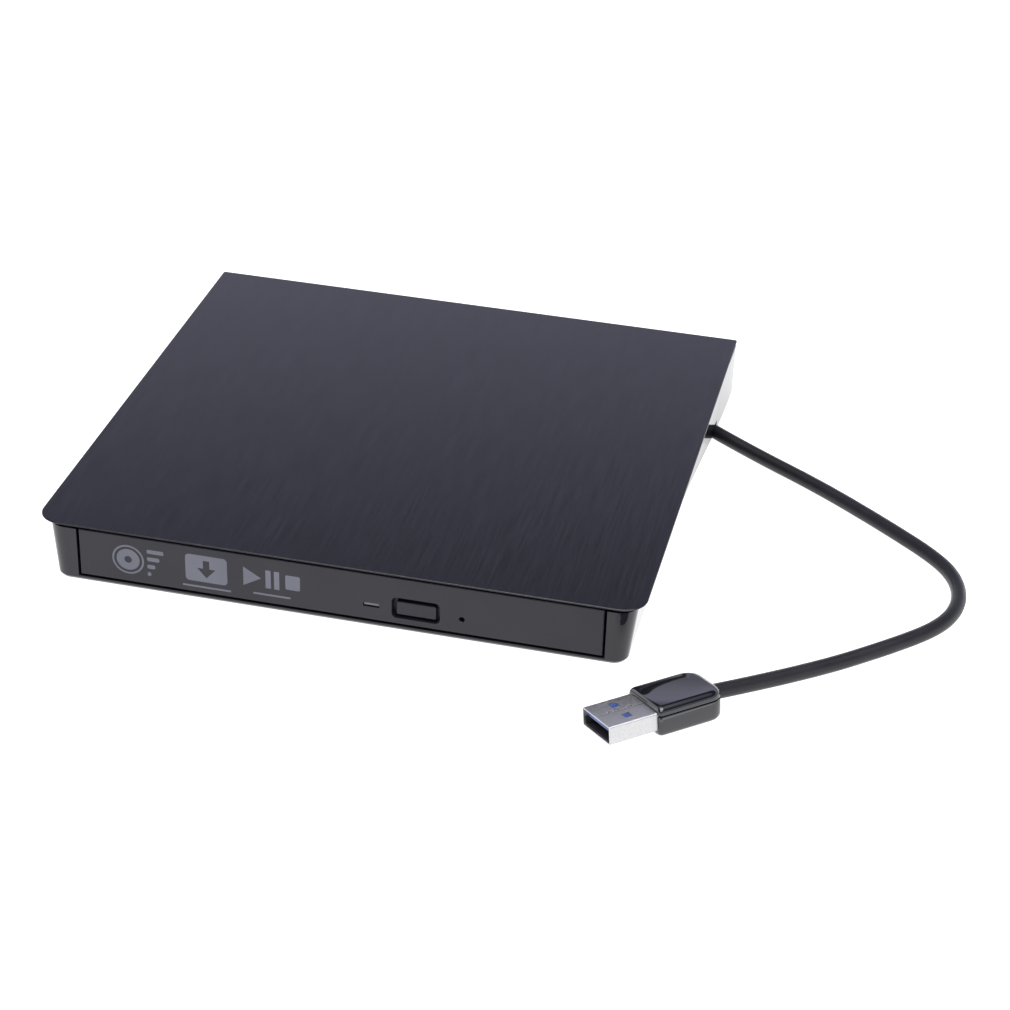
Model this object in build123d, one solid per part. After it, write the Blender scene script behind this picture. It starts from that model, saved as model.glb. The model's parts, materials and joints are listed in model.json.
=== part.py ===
from build123d import *
import math
import os

# Slim external disc drive with its attached USB lead. Millimetres.
# +X is to the right, +Y goes from the tray's face to the back, +Z is up.
# The origin is on the table, under the middle of the case.

# ---- driving dimensions: case ----
LID_WIDTH = 148.0
LID_DEPTH = 140.0
LID_THICK = 0.5
LID_FIELD = 0.9              # thickness inside the walls
LID_UNDERCUT = 0.22          # the rim slopes inward below
LID_GAP = 0.8                # shadow gap between the walls and the lid
LID_FRONT_RADIUS = 6.0
LID_REAR_RADIUS = 0.6
HEIGHT = 17.0
FOOT_HEIGHT = 1.0
FOOT_RADIUS = 4.5
FLOOR_THICK = 1.6
WALL = 1.8
FRONT_REACH = (69.75, 70.5)  # how far the underside goes left and right, front two thirds
REAR_HALF_WIDTH = 73.9       # the sides flare out to this at the back
SIDE_TAPER = 1.7             # how much wider each side is at the top; upright at the back
FLARE_START_Y = -5.0         # the flare begins here
BASE_FRONT_Y = -69.5
BASE_REAR_Y = 69.8
BASE_FRONT_RADIUS = (3.6, 4.6)  # at the foot of the case and under the lid
BASE_REAR_RADIUS = (1.5, 0.8)
EDGE_ROUND = 1.1             # the soft lower edge of the case

LID_UNDER = HEIGHT - LID_THICK
WALL_TOP = LID_UNDER - LID_GAP
FLOOR_TOP = FOOT_HEIGHT + FLOOR_THICK

# ---- driving dimensions: slim drive ----
DRIVE_X = 0.9                # the drive sits a little right of the case's middle
BEZEL_WIDTH = 128.0
BEZEL_HEIGHT = 12.7
BEZEL_DEPTH = 3.2
BEZEL_GAP = 0.58
DRIVE_LOW = 3.15
SHEET = 0.6
CHASSIS_HALF = 63.7
CHASSIS_FRONT_Y = -65.6
CHASSIS_REAR_Y = 57.5
CHASSIS_TOP = 15.2
COVER_GAP = 0.1
COVER_THICK = 0.5

BEZEL_FACE_Y = BASE_FRONT_Y
BEZEL_BACK_Y = BEZEL_FACE_Y + BEZEL_DEPTH
BEZEL_TOP = DRIVE_LOW + BEZEL_HEIGHT
CHASSIS_FLOOR = DRIVE_LOW + SHEET

# ---- driving dimensions: tray ----
TRAY_REAR_Y = 56.3
TRAY_LOW = 5.2
TRAY_TOP = 14.4
DECK_LOW = 10.5
DECK_HALF = 62.6
BODY_HALF = 59.3
SKIRT = 2.2
RECESS_RADIUS = 60.6
RECESS_FLOOR = 11.2
DISC_Y = -5.1

RAIL_Z = 7.6
RAIL_FRONT_Y = -60.0
RAIL_REAR_Y = 55.0

# ---- driving dimensions: reading mechanism, along a diagonal of the tray ----
SLOPE = -135.0               # the sled runs from the hub to the front left corner
LENS_HOME = 23.5
SLED_TRAVEL = 32.0
SLED_HALF = 6.5
ROD_OFFSET = 11.5
ROD_RADIUS = 1.0
ROD_Z = 7.1
ROD_START = 13.0
ROD_END = LENS_HOME + SLED_TRAVEL + SLED_HALF + 1.5
SCREW_OFFSET = 17.0
FRAME_LOW = 9.0
FRAME_TOP = DECK_LOW
SLED_TOP = FRAME_LOW - 0.3
LENS_LOW = FRAME_TOP - 0.4
TURNTABLE_RADIUS = 14.5
HUB_RADIUS = 7.45
DISC_SEAT = 12.4

# ---- driving dimensions: bezel details ----
BUTTON_X = 20.2
BUTTON_Z = 7.65
BUTTON_HOLE = (11.7, 5.7)
BUTTON_CAP = (9.7, 3.6)
BUTTON_DROP = 0.35           # the cap sits below the middle of its hole
BUTTON_SUNK = 0.5
BUTTON_TRAVEL = 0.6
STEM_END_Y = -64.7
LED_X = 9.4
LED_Z = 7.3
LED_SIZE = (3.9, 1.1)
LED_SUNK = 0.35
PINHOLE_X = 31.3
PINHOLE_Z = 7.1
PINHOLE_RADIUS = 0.65

# ---- driving dimensions: lead and plug ----
CORD_RADIUS = 1.85
PLUG_YAW = 41.2
PLUG_ROLL = 10.0
PLUG_TIP = (69.3, -98.4)     # clear of the tray, which slides out beside it
SHELL = (12.2, 12.0, 4.5)
SHELL_SHEET = 0.3
TONGUE_SUNK = 1.0
OVERMOULD = (17.4, 13.8, 7.2)
OVERMOULD_ROUND = 1.1

LEAN = math.radians(PLUG_ROLL)
PLUG_AXIS_Z = (
    (OVERMOULD[1] / 2 - OVERMOULD_ROUND) * math.sin(LEAN)
    + (OVERMOULD[2] / 2 - OVERMOULD_ROUND) * math.cos(LEAN)
    + OVERMOULD_ROUND
)
EXIT_POINT = (71.5, 43.6, 3.05)
EXIT_HEADING = -30.0


def block(x0, x1, y0, y1, z0, z1):
    middle = ((x0 + x1) / 2, (y0 + y1) / 2, (z0 + z1) / 2)
    return Pos(*middle) * Box(x1 - x0, y1 - y0, z1 - z0)


def drive_block(x0, x1, y0, y1, z0, z1):
    """A block placed from the drive's own middle line."""
    return block(DRIVE_X + x0, DRIVE_X + x1, y0, y1, z0, z1)


def post(x, y, z0, z1, radius):
    return Pos(x, y, (z0 + z1) / 2) * Cylinder(radius, z1 - z0)


def slab(profile, z0, z1):
    return extrude(Pos(0, 0, z0) * profile, z1 - z0)


def wall_edges(front, rear, low_y, high_y, round_front, round_rear):
    """The right side of an outline, from the front edge to the back edge."""
    return [
        CenterArc((front - round_front, low_y + round_front), round_front, -90, 90),
        Line((front, low_y + round_front), (front, FLARE_START_Y)),
        Spline((front, FLARE_START_Y), (rear, high_y - round_rear), tangents=((0, 1), (0, 1))),
        CenterArc((rear - round_rear, high_y - round_rear), round_rear, 0, 90),
    ]


def case_outline(z, inset):
    """The case's outline at height z, moved in by inset."""
    rise = (z - FOOT_HEIGHT) / (LID_UNDER - FOOT_HEIGHT)
    rear = REAR_HALF_WIDTH - inset
    low_y = BASE_FRONT_Y + inset
    high_y = BASE_REAR_Y - inset
    rounds = [
        max(low + (high - low) * rise - inset, 0.5) for low, high in (BASE_FRONT_RADIUS, BASE_REAR_RADIUS)
    ]
    fronts = [reach + SIDE_TAPER * rise - inset for reach in FRONT_REACH]
    left, right = [wall_edges(front, rear, low_y, high_y, *rounds) for front in fronts]
    left = [mirror(edge, about=Plane.YZ) for edge in left]
    across = [
        Line((rounds[0] - fronts[0], low_y), (fronts[1] - rounds[0], low_y)),
        Line((rounds[1] - rear, high_y), (rear - rounds[1], high_y)),
    ]
    return Pos(0, 0, z) * make_face(right + left + across)


def exit_plane():
    """X along the lead where it leaves the case, Z up, at the exit point."""
    turn = math.radians(EXIT_HEADING)
    return Plane(origin=EXIT_POINT, x_dir=(math.cos(turn), math.sin(turn), 0), z_dir=(0, 0, 1))


# ---- case ----
SCREW_PLACES = [(-66.3, -60.0), (67.3, -60.0), (-68.5, 63.5), (68.5, 63.5)]
FOOT_PLACES = [(-58.0, -58.0), (58.0, -58.0), (-58.0, 56.0), (58.0, 56.0)]
BOSS_RADIUS = 1.9
BOSS_TOP = 6.9
BOARD_SCREWS = [(-36.0, 62.6), (20.0, 62.6)]
BOARD_LOW = 4.0
BRACKET_X = (-58.0, -44.0)
CHANNEL_WIDTH = 4.4
CHANNEL_TOP = 5.1
GROMMET_LENGTH = 4.6


def cable_channel():
    """The notch under the right wall that lets the lead out."""
    reach = 8.0
    low = FOOT_HEIGHT - 0.5
    tall = CHANNEL_TOP - low
    long = GROMMET_LENGTH + reach
    middle = (reach - GROMMET_LENGTH) / 2
    shape = Pos(middle, 0, low + tall / 2 - EXIT_POINT[2]) * Box(long, CHANNEL_WIDTH, tall)
    return exit_plane() * shape


def make_base_shell():
    lower = loft([case_outline(FOOT_HEIGHT, EDGE_ROUND), case_outline(FOOT_HEIGHT + 0.45, 0.45)], ruled=True)
    middle = loft(
        [case_outline(FOOT_HEIGHT + 0.45, 0.45), case_outline(FOOT_HEIGHT + EDGE_ROUND, 0)], ruled=True
    )
    upper = loft([case_outline(FOOT_HEIGHT + EDGE_ROUND, 0), case_outline(WALL_TOP, 0)], ruled=True)
    inside = loft([case_outline(FLOOR_TOP, WALL), case_outline(LID_UNDER + 0.5, WALL)], ruled=True)
    shell = lower + middle + upper - inside
    half = BEZEL_WIDTH / 2 + BEZEL_GAP
    shell -= drive_block(-half, half, BASE_FRONT_Y - 1, CHASSIS_FRONT_Y, FLOOR_TOP, HEIGHT)
    for x, y in SCREW_PLACES:
        shell += post(x, y, FOOT_HEIGHT + 0.6, BOSS_TOP, BOSS_RADIUS)
    for x, y in SCREW_PLACES:
        shell -= post(x, y, FOOT_HEIGHT - 1, BOSS_TOP + 1, 1.15)
        shell -= post(x, y, FOOT_HEIGHT - 1, FOOT_HEIGHT + 1.1, 1.9)
    for x, y in FOOT_PLACES:
        shell -= post(x, y, 0, FOOT_HEIGHT + 0.3, FOOT_RADIUS)
    for x, y in BOARD_SCREWS:
        shell += post(x, y, FLOOR_TOP, BOARD_LOW, 2.4)
        shell -= post(x, y, FLOOR_TOP - 0.8, BOARD_LOW + 1, 0.85)
    for x in (-50, 0, 50):
        for y in (-52, 0, 48):
            shell += drive_block(x - 4, x + 4, y - 1, y + 1, FLOOR_TOP - 0.5, DRIVE_LOW)
    return shell - cable_channel()


def make_top_cover():
    plate = RectangleRounded(LID_WIDTH, LID_DEPTH, LID_FRONT_RADIUS)
    square = Pos(0, LID_DEPTH / 4) * RectangleRounded(LID_WIDTH, LID_DEPTH / 2, LID_REAR_RADIUS)
    cover = slab(plate + square, LID_UNDER, HEIGHT)
    cover = fillet(cover.faces().sort_by(Axis.Z)[-1].edges(), 0.26)
    cover = chamfer(cover.faces().sort_by(Axis.Z)[0].edges(), LID_UNDERCUT)
    field = case_outline(LID_UNDER, WALL + 0.25)
    inner = extrude(field, amount=LID_FIELD - LID_THICK, dir=(0, 0, -1))
    lip = extrude(field - case_outline(LID_UNDER, WALL + 1.45), amount=2.0, dir=(0, 0, -1))
    half = BEZEL_WIDTH / 2 + BEZEL_GAP + 1
    over_bezel = drive_block(-half, half, BASE_FRONT_Y, BEZEL_BACK_Y + 1.5, LID_UNDER - 3, LID_UNDER)
    cover += inner + lip - over_bezel
    for x, y in SCREW_PLACES:
        cover += post(x, y, BOSS_TOP + 0.1, LID_UNDER + 0.2, BOSS_RADIUS)
    for x, y in SCREW_PLACES:
        cover -= post(x, y, BOSS_TOP, 13.5, 0.8)
    return cover


def make_case_screw(x, y):
    head = post(x, y, FOOT_HEIGHT + 0.1, FOOT_HEIGHT + 1.1, 1.7)
    slot = block(x - 1.1, x + 1.1, y - 0.2, y + 0.2, FOOT_HEIGHT, FOOT_HEIGHT + 0.6)
    cross = block(x - 0.2, x + 0.2, y - 1.1, y + 1.1, FOOT_HEIGHT, FOOT_HEIGHT + 0.6)
    return head + post(x, y, FOOT_HEIGHT + 1.1, 12.5, 0.95) - slot - cross


def make_foot(x, y):
    foot = post(x, y, 0, FOOT_HEIGHT + 0.3, FOOT_RADIUS)
    return fillet(foot.edges().sort_by(Axis.Z)[0], 0.4)


def make_cable_grommet():
    tall = CHANNEL_TOP - FOOT_HEIGHT - 0.15
    low = FOOT_HEIGHT + 0.15 - EXIT_POINT[2]
    shape = Pos(-GROMMET_LENGTH / 2, 0, low + tall / 2) * Box(GROMMET_LENGTH, CHANNEL_WIDTH, tall)
    return exit_plane() * shape


def make_cable_tail():
    """The lead's inner end, from the grommet to the header on the bridge board."""
    start = exit_plane().from_local_coords((-GROMMET_LENGTH, 0, 1.0))
    inward = exit_plane().from_local_coords((-GROMMET_LENGTH - 1.6, 0, 1.0))
    route = [start, inward, Vector(67.4, 55.0, 6.0), Vector(63.0, 62.6, 7.0), Vector(53.0, 62.6, 7.0)]
    return cord(route, 1.2)


# ---- bridge board behind the drive ----
BOARD = (-42.0, 62.0, 59.4, 66.2)
BOARD_TOP = BOARD_LOW + 1.0
SATA_X = (26.0, 48.0)
SATA_Z = (BOARD_TOP, 10.0)
SATA_MEET_Y = 61.0


def make_bridge_board():
    board = block(BOARD[0], BOARD[1], BOARD[2], BOARD[3], BOARD_LOW, BOARD_TOP)
    for x, y in BOARD_SCREWS:
        board -= post(x, y, 0, HEIGHT, 1.1)
    return board


def make_board_screw(x, y):
    head = post(x, y, BOARD_TOP, BOARD_TOP + 0.9, 1.8)
    socket = Pos(x, y, BOARD_TOP + 0.7) * extrude(RegularPolygon(0.8, 6), 0.5)
    return head + post(x, y, FLOOR_TOP - 0.5, BOARD_TOP, 0.85) - socket


def make_bridge_chip():
    chip = block(-16.0, -9.0, 60.2, 65.6, BOARD_TOP, BOARD_TOP + 0.9)
    return chip - post(-14.8, 64.4, BOARD_TOP + 0.8, BOARD_TOP + 1, 0.4)


def make_crystal():
    can = block(2.0, 7.0, 61.2, 64.4, BOARD_TOP, BOARD_TOP + 1.2)
    return fillet(can.edges().filter_by(Axis.Z), 1.4)


def make_sata_socket():
    body = block(SATA_X[0], SATA_X[1], SATA_MEET_Y, 65.8, SATA_Z[0], SATA_Z[1])
    mouth = block(SATA_X[0] + 1, SATA_X[1] - 1, SATA_MEET_Y - 1, 63.6, SATA_Z[0] + 1.2, SATA_Z[1] - 1.2)
    return body - mouth


def make_sata_plug():
    body = block(SATA_X[0], SATA_X[1], CHASSIS_REAR_Y, SATA_MEET_Y, SATA_Z[0], SATA_Z[1])
    tongue = block(SATA_X[0] + 1.5, SATA_X[1] - 1.5, SATA_MEET_Y, 63.2, SATA_Z[0] + 1.9, SATA_Z[0] + 3.1)
    return body + tongue


def make_cable_header():
    return block(49.0, 53.0, 60.2, 65.0, BOARD_TOP, BOARD_TOP + 4.0)


# ---- drive housing ----
def make_drive_chassis():
    inner = CHASSIS_HALF - SHEET
    outer = drive_block(-CHASSIS_HALF, CHASSIS_HALF, CHASSIS_FRONT_Y, CHASSIS_REAR_Y, DRIVE_LOW, CHASSIS_TOP)
    hollow = drive_block(
        -inner, inner, CHASSIS_FRONT_Y - 1, CHASSIS_REAR_Y - SHEET, CHASSIS_FLOOR, CHASSIS_TOP + 1
    )
    chassis = outer - hollow
    for x in (-36, 0, 36):
        chassis -= drive_block(x - 6, x + 6, -40, -38, 0, 5)
        chassis -= drive_block(x - 6, x + 6, 38, 40, 0, 5)
    return chassis


def make_drive_cover():
    low = CHASSIS_TOP + COVER_GAP
    plate = drive_block(-CHASSIS_HALF, CHASSIS_HALF, CHASSIS_FRONT_Y, CHASSIS_REAR_Y, low, low + COVER_THICK)
    for side in (-1, 1):
        edge = side * (CHASSIS_HALF + 0.05)
        ends = sorted((edge, edge + side * 0.45))
        plate += drive_block(
            ends[0], ends[1], CHASSIS_FRONT_Y + 4, CHASSIS_REAR_Y - 4, 12.0, low + COVER_THICK
        )
        shoulder = sorted((side * (CHASSIS_HALF - 1), edge + side * 0.45))
        plate += drive_block(
            shoulder[0], shoulder[1], CHASSIS_FRONT_Y + 4, CHASSIS_REAR_Y - 4, low, low + COVER_THICK
        )
    return plate


def make_drive_bracket():
    upright = block(BRACKET_X[0], BRACKET_X[1], CHASSIS_REAR_Y, CHASSIS_REAR_Y + 0.8, FLOOR_TOP, 12.0)
    foot = block(BRACKET_X[0], BRACKET_X[1], CHASSIS_REAR_Y, 65.5, FLOOR_TOP, FLOOR_TOP + 0.8)
    hole = post(-51.0, 62.0, 0, HEIGHT, 1.2)
    return upright + foot - hole


def make_bracket_screw():
    top = FLOOR_TOP + 0.8
    return post(-51.0, 62.0, top, top + 0.9, 2.0) + post(-51.0, 62.0, FLOOR_TOP, top, 1.1)


def make_rail_guide(side):
    low, high = 5.0, 10.2
    outer = CHASSIS_HALF - SHEET
    guide = block(61.6, outer, -62.0, 55.0, low, high)
    guide += block(61.6, outer, -62.0, -56.0, CHASSIS_FLOOR, low)
    guide += block(61.6, outer, 49.0, 55.0, CHASSIS_FLOOR, low)
    guide -= block(61.0, 62.5, -63.0, 56.0, RAIL_Z - 0.8, RAIL_Z + 0.8)
    return on_side(guide, side)


def make_rail(side):
    web = block(59.6, 61.3, RAIL_FRONT_Y, RAIL_REAR_Y, RAIL_Z - 2.2, RAIL_Z + 2.2)
    ribs = block(58.5, 62.2, RAIL_FRONT_Y, RAIL_REAR_Y, RAIL_Z - 0.5, RAIL_Z + 0.5)
    return on_side(web + ribs, side)


def on_side(shape, side):
    """Puts a right-hand shape on the drive's right or left side."""
    if side < 0:
        shape = mirror(shape, about=Plane.YZ)
    return Pos(DRIVE_X, 0, 0) * shape


# ---- tray ----
LATCH_POST = (46.0, 50.5)
LATCH_PIVOT = (38.0, 46.0)
FRONT_BOARD = (5.0, 37.0, -64.0, -57.0)


def along_sled():
    """X along the sled's travel, from the disc's middle; Y across it."""
    return Pos(DRIVE_X, DISC_Y, 0) * Rot(0, 0, SLOPE)


def traverse_opening(gap):
    """The window in the recess floor above the mechanism, shrunk by gap."""
    wide = Pos(16.5, 0) * RectangleRounded(67 - 2 * gap, 43 - 2 * gap, 6)
    narrow = Pos(50, 0) * RectangleRounded(20.4 - 2 * gap, 21 - 2 * gap, 4)
    return wide + narrow


def make_disc_tray():
    deck = drive_block(-DECK_HALF, DECK_HALF, BEZEL_BACK_Y, TRAY_REAR_Y, DECK_LOW, TRAY_TOP)
    body = drive_block(-BODY_HALF, BODY_HALF, BEZEL_BACK_Y, TRAY_REAR_Y, TRAY_LOW, DECK_LOW)
    inner = BODY_HALF - SKIRT
    body -= drive_block(
        -inner, inner, BEZEL_BACK_Y + SKIRT, TRAY_REAR_Y - SKIRT, TRAY_LOW - 1, DECK_LOW
    )
    for side in (-1, 1):
        ends = sorted((side * (BODY_HALF - 1.1), side * (BODY_HALF + 1)))
        body -= drive_block(ends[0], ends[1], -64.5, TRAY_REAR_Y + 1, RAIL_Z - 0.8, RAIL_Z + 0.8)
    tray = deck + body - post(DRIVE_X, DISC_Y, RECESS_FLOOR, HEIGHT, RECESS_RADIUS)
    tray -= along_sled() * slab(traverse_opening(0), DECK_LOW - 1, RECESS_FLOOR + 1)
    for angle in (50, 130, 230, 310):
        turn = math.radians(angle)
        x = DRIVE_X + RECESS_RADIUS * math.cos(turn)
        tray -= post(x, DISC_Y + RECESS_RADIUS * math.sin(turn), RECESS_FLOOR, HEIGHT, 8.0)
    tray -= latch_notch()
    tray -= front_holes(BEZEL_BACK_Y - 1, BEZEL_BACK_Y + SKIRT + 1)
    tray -= Pos(BUTTON_X, BEZEL_BACK_Y, BUTTON_Z) * Rot(90, 0, 0) * Cylinder(1.7, 8)
    return tray


def latch_notch():
    x = LATCH_POST[0]
    return drive_block(x - 7.5, x + 4, LATCH_POST[1] - 4, TRAY_REAR_Y + 1, 4, 8.4)


def front_holes(y0, y1):
    """The light window and the emergency pinhole, through whatever is between y0 and y1."""
    wide, tall = LED_SIZE
    window = block(LED_X - wide / 2, LED_X + wide / 2, y0, y1, LED_Z - tall / 2, LED_Z + tall / 2)
    hole = Pos(PINHOLE_X, (y0 + y1) / 2, PINHOLE_Z) * Rot(90, 0, 0) * Cylinder(PINHOLE_RADIUS, y1 - y0)
    return window + hole


def front_plate(width, height, radius, y0, y1, drop=0):
    """A rounded plate that faces the front, drop below the middle of the button's hole."""
    face = Plane(origin=(BUTTON_X, y0, BUTTON_Z - drop), x_dir=(1, 0, 0), z_dir=(0, 1, 0))
    return extrude(face * RectangleRounded(width, height, radius), y1 - y0)


def make_tray_bezel():
    half = BEZEL_WIDTH / 2
    bezel = drive_block(-half, half, BEZEL_FACE_Y, BEZEL_BACK_Y, DRIVE_LOW, BEZEL_TOP)
    bezel = fillet(bezel.faces().sort_by(Axis.Y)[0].edges(), 0.35)
    bezel -= front_plate(BUTTON_HOLE[0], BUTTON_HOLE[1], 1.3, BEZEL_FACE_Y - 1, BEZEL_BACK_Y)
    bezel -= front_plate(BUTTON_HOLE[0] + 1.4, BUTTON_HOLE[1] + 1.4, 1.6, BEZEL_FACE_Y + 1.9, BEZEL_BACK_Y)
    rim = Pos(PINHOLE_X, BEZEL_FACE_Y, PINHOLE_Z) * Rot(90, 0, 0) * Cone(0.5, PINHOLE_RADIUS + 0.45, 0.6)
    return bezel - front_holes(BEZEL_FACE_Y - 1, BEZEL_BACK_Y + 0.5) - rim


def make_eject_button():
    front = BEZEL_FACE_Y + BUTTON_SUNK
    cap = front_plate(BUTTON_CAP[0], BUTTON_CAP[1], 0.5, front, BEZEL_FACE_Y + 2.0, BUTTON_DROP)
    cap = fillet(cap.faces().sort_by(Axis.Y)[0].edges(), 0.25)
    start = BEZEL_FACE_Y + 2.4
    flange = front_plate(BUTTON_HOLE[0] + 0.7, BUTTON_HOLE[1] + 0.7, 1.2, BEZEL_FACE_Y + 2.0, start)
    middle = (start + STEM_END_Y) / 2
    stem = Pos(BUTTON_X, middle, BUTTON_Z) * Rot(90, 0, 0) * Cylinder(1.2, STEM_END_Y - start)
    return cap + flange + stem


def make_led_light_pipe():
    return block(
        LED_X - LED_SIZE[0] / 2 + 0.15,
        LED_X + LED_SIZE[0] / 2,
        BEZEL_FACE_Y + LED_SUNK,
        BEZEL_BACK_Y + SKIRT + 0.1,
        LED_Z - LED_SIZE[1] / 2 + 0.3,
        LED_Z + LED_SIZE[1] / 2,
    )


def make_front_board():
    return block(FRONT_BOARD[0], FRONT_BOARD[1], FRONT_BOARD[2], FRONT_BOARD[3], TRAY_LOW, TRAY_LOW + 0.8)


def make_button_switch():
    body = block(BUTTON_X - 3, BUTTON_X + 3, -63.6, -60.0, TRAY_LOW + 0.8, TRAY_LOW + 4.4)
    front = STEM_END_Y + BUTTON_TRAVEL + 0.1
    nub = Pos(BUTTON_X, (front - 63.6) / 2, BUTTON_Z) * Rot(90, 0, 0) * Cylinder(1.0, -63.6 - front)
    return body + nub


def make_tray_underplate():
    plate = drive_block(
        -BODY_HALF + 0.4, BODY_HALF - 0.4, BEZEL_BACK_Y + 0.4, TRAY_REAR_Y - 0.3, TRAY_LOW - 0.5, TRAY_LOW
    )
    for x, y in ((-40, 30), (-20, 40), (30, 10), (40, -30)):
        plate -= Pos(DRIVE_X, 0, 0) * post(x, y, 0, 8, 3.0)
    return plate - latch_notch()


def make_traverse_cover():
    top = RECESS_FLOOR
    cover = along_sled() * slab(traverse_opening(0.3), FRAME_TOP, top)
    keyhole = Circle(TURNTABLE_RADIUS + 1) + Pos(36, 0) * RectangleRounded(48, 15, 3)
    return cover - along_sled() * slab(keyhole, FRAME_TOP - 1, top + 1)


def make_traverse_frame():
    plate = Pos(23.5, 0) * Rectangle(83, 30) + Pos(30, 15.5) * Rectangle(54, 10)
    plate -= Circle(13.2)
    plate -= Pos(39.6, 0) * Rectangle(48, 20)
    frame = slab(plate, FRAME_LOW, FRAME_TOP)
    for r0, r1 in ((ROD_START - 0.5, ROD_START + 2), (ROD_END - 1, ROD_END + 1.5)):
        for v in (-ROD_OFFSET, ROD_OFFSET):
            frame += block(r0, r1, v - 2.4, v + 2.4, TRAY_LOW + 0.3, FRAME_LOW)
    frame += block(53.5, 55.5, SCREW_OFFSET - 2.2, SCREW_OFFSET + 2.2, TRAY_LOW + 0.3, FRAME_LOW)
    for v in (-ROD_OFFSET, ROD_OFFSET):
        frame -= rod(v, ROD_START, ROD_END, ROD_RADIUS)
    frame -= rod(SCREW_OFFSET, 50, 56, 1.05)
    return along_sled() * frame


def rod(offset, start, end, radius):
    """A round bar along the sled's travel, in the mechanism's own frame."""
    return Pos((start + end) / 2, offset, ROD_Z) * Rot(0, 90, 0) * Cylinder(radius, end - start)


def make_guide_rod(offset):
    return along_sled() * rod(offset, ROD_START, ROD_END, ROD_RADIUS)


def make_spindle_motor():
    flange = post(0, 0, FRAME_LOW - 0.5, FRAME_LOW, 15.2)
    can = post(0, 0, TRAY_LOW + 0.3, FRAME_LOW - 0.5, 12.0)
    collar = post(0, 0, FRAME_LOW, FRAME_TOP - 0.2, 10.0)
    shaft = post(0, 0, FRAME_TOP - 0.2, 13.4, 1.0)
    return along_sled() * (flange + can + collar + shaft)


def make_turntable():
    plate = post(0, 0, FRAME_TOP + 0.15, DISC_SEAT - 0.3, TURNTABLE_RADIUS)
    hub = post(0, 0, DISC_SEAT - 0.3, 13.8, HUB_RADIUS)
    crown = Pos(0, 0, 14.3) * Cone(HUB_RADIUS, HUB_RADIUS - 1.2, 1.0)
    table = plate + hub + crown
    table -= post(0, 0, 10, 13.5, 1.03)
    for turn in (0, 120, 240):
        table -= Rot(0, 0, turn) * block(HUB_RADIUS - 2.4, HUB_RADIUS + 1, -1.5, 1.5, 13.6, 14.2)
    return along_sled() * table


def make_turntable_ring():
    ring = post(0, 0, DISC_SEAT - 0.3, DISC_SEAT, 13.6) - post(0, 0, 12, 13, 10.2)
    return along_sled() * ring


def make_pickup_sled():
    body = block(LENS_HOME - SLED_HALF, LENS_HOME + SLED_HALF, -13.6, 13.6, TRAY_LOW + 0.4, SLED_TOP)
    body += block(LENS_HOME - 6, LENS_HOME + 6, -7, 7, SLED_TOP, LENS_LOW)
    for v in (-ROD_OFFSET, ROD_OFFSET):
        body -= rod(v, LENS_HOME - 10, LENS_HOME + 10, ROD_RADIUS + 0.05)
    return along_sled() * body


def make_lens_holder():
    holder = block(LENS_HOME - 4.2, LENS_HOME + 4.2, -4.8, 4.8, LENS_LOW, RECESS_FLOOR - 0.2)
    return along_sled() * (holder - post(LENS_HOME, 0, LENS_LOW - 1, HEIGHT, 2.4))


def make_pickup_lens():
    top = RECESS_FLOOR - 0.3
    ring = post(LENS_HOME, 0, LENS_LOW, top, 2.4)
    dome = Pos(LENS_HOME, 0, top - 2.0) * Sphere(2.6) & post(LENS_HOME, 0, top - 0.1, top + 2, 2.0)
    return along_sled() * (ring + dome)


def make_sled_nut():
    """The arm that carries the sled along the lead screw."""
    near, far = LENS_HOME - SLED_HALF, LENS_HOME - 2.5
    arm = block(near, far, 13.6, SCREW_OFFSET + 1.9, TRAY_LOW + 0.4, SLED_TOP)
    return along_sled() * (arm - rod(SCREW_OFFSET, near - 1, far + 1, 1.15))


def make_lead_screw():
    return along_sled() * rod(SCREW_OFFSET, 14.3, 55.4, 1.0)


def make_sled_motor():
    return along_sled() * rod(SCREW_OFFSET, 3.2, 14.2, FRAME_LOW - ROD_Z)


def make_tray_board():
    return drive_block(14, 56, 12, 34, TRAY_LOW, TRAY_LOW + 0.8)


def make_tray_chip():
    return drive_block(28, 40, 17, 29, TRAY_LOW + 0.8, TRAY_LOW + 1.9)


def make_latch_post():
    x, y = LATCH_POST
    return post(DRIVE_X + x, y, CHASSIS_FLOOR, 8.0, 1.3)


def make_latch_hook():
    """Turns about its pin; its nose stands behind the post, a hair to one side of it."""
    x, y = LATCH_PIVOT
    low, high = TRAY_LOW + 0.3, TRAY_LOW + 2.0
    arm = block(x - 1.6, x + 6.4, y - 1.4, y + 1.4, low, high)
    arm += block(x + 3.9, x + 6.4, y, y + 8.0, low, high)
    hub = post(x, y, low, high, 2.4)
    nose = block(x + 3.9, x + 6.4, y + 6.0, y + 8.4, low, high)
    return Pos(DRIVE_X, 0, 0) * (arm + hub + nose - post(x, y, 0, HEIGHT, 1.05))


def make_latch_pin():
    x, y = LATCH_PIVOT
    return post(DRIVE_X + x, y, TRAY_LOW, DECK_LOW, 1.0)


def make_solenoid():
    x, y = LATCH_PIVOT
    return drive_block(x - 17, x - 5, y - 3.2, y + 3.2, TRAY_LOW, TRAY_LOW + 5.0)


# ---- ribbon between the chassis and the tray, folded in the space below the tray ----
RIBBON_X = (26.0, 42.0)
RIBBON_THICK = 0.15
RIBBON_FOLD_Y = -20.0


def make_ribbon_lower():
    z = CHASSIS_FLOOR
    return drive_block(RIBBON_X[0], RIBBON_X[1], RIBBON_FOLD_Y, 56.5, z, z + RIBBON_THICK)


def make_ribbon_upper():
    z = TRAY_LOW - 0.5
    return drive_block(RIBBON_X[0], RIBBON_X[1], RIBBON_FOLD_Y, 44.0, z - RIBBON_THICK, z)


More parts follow.
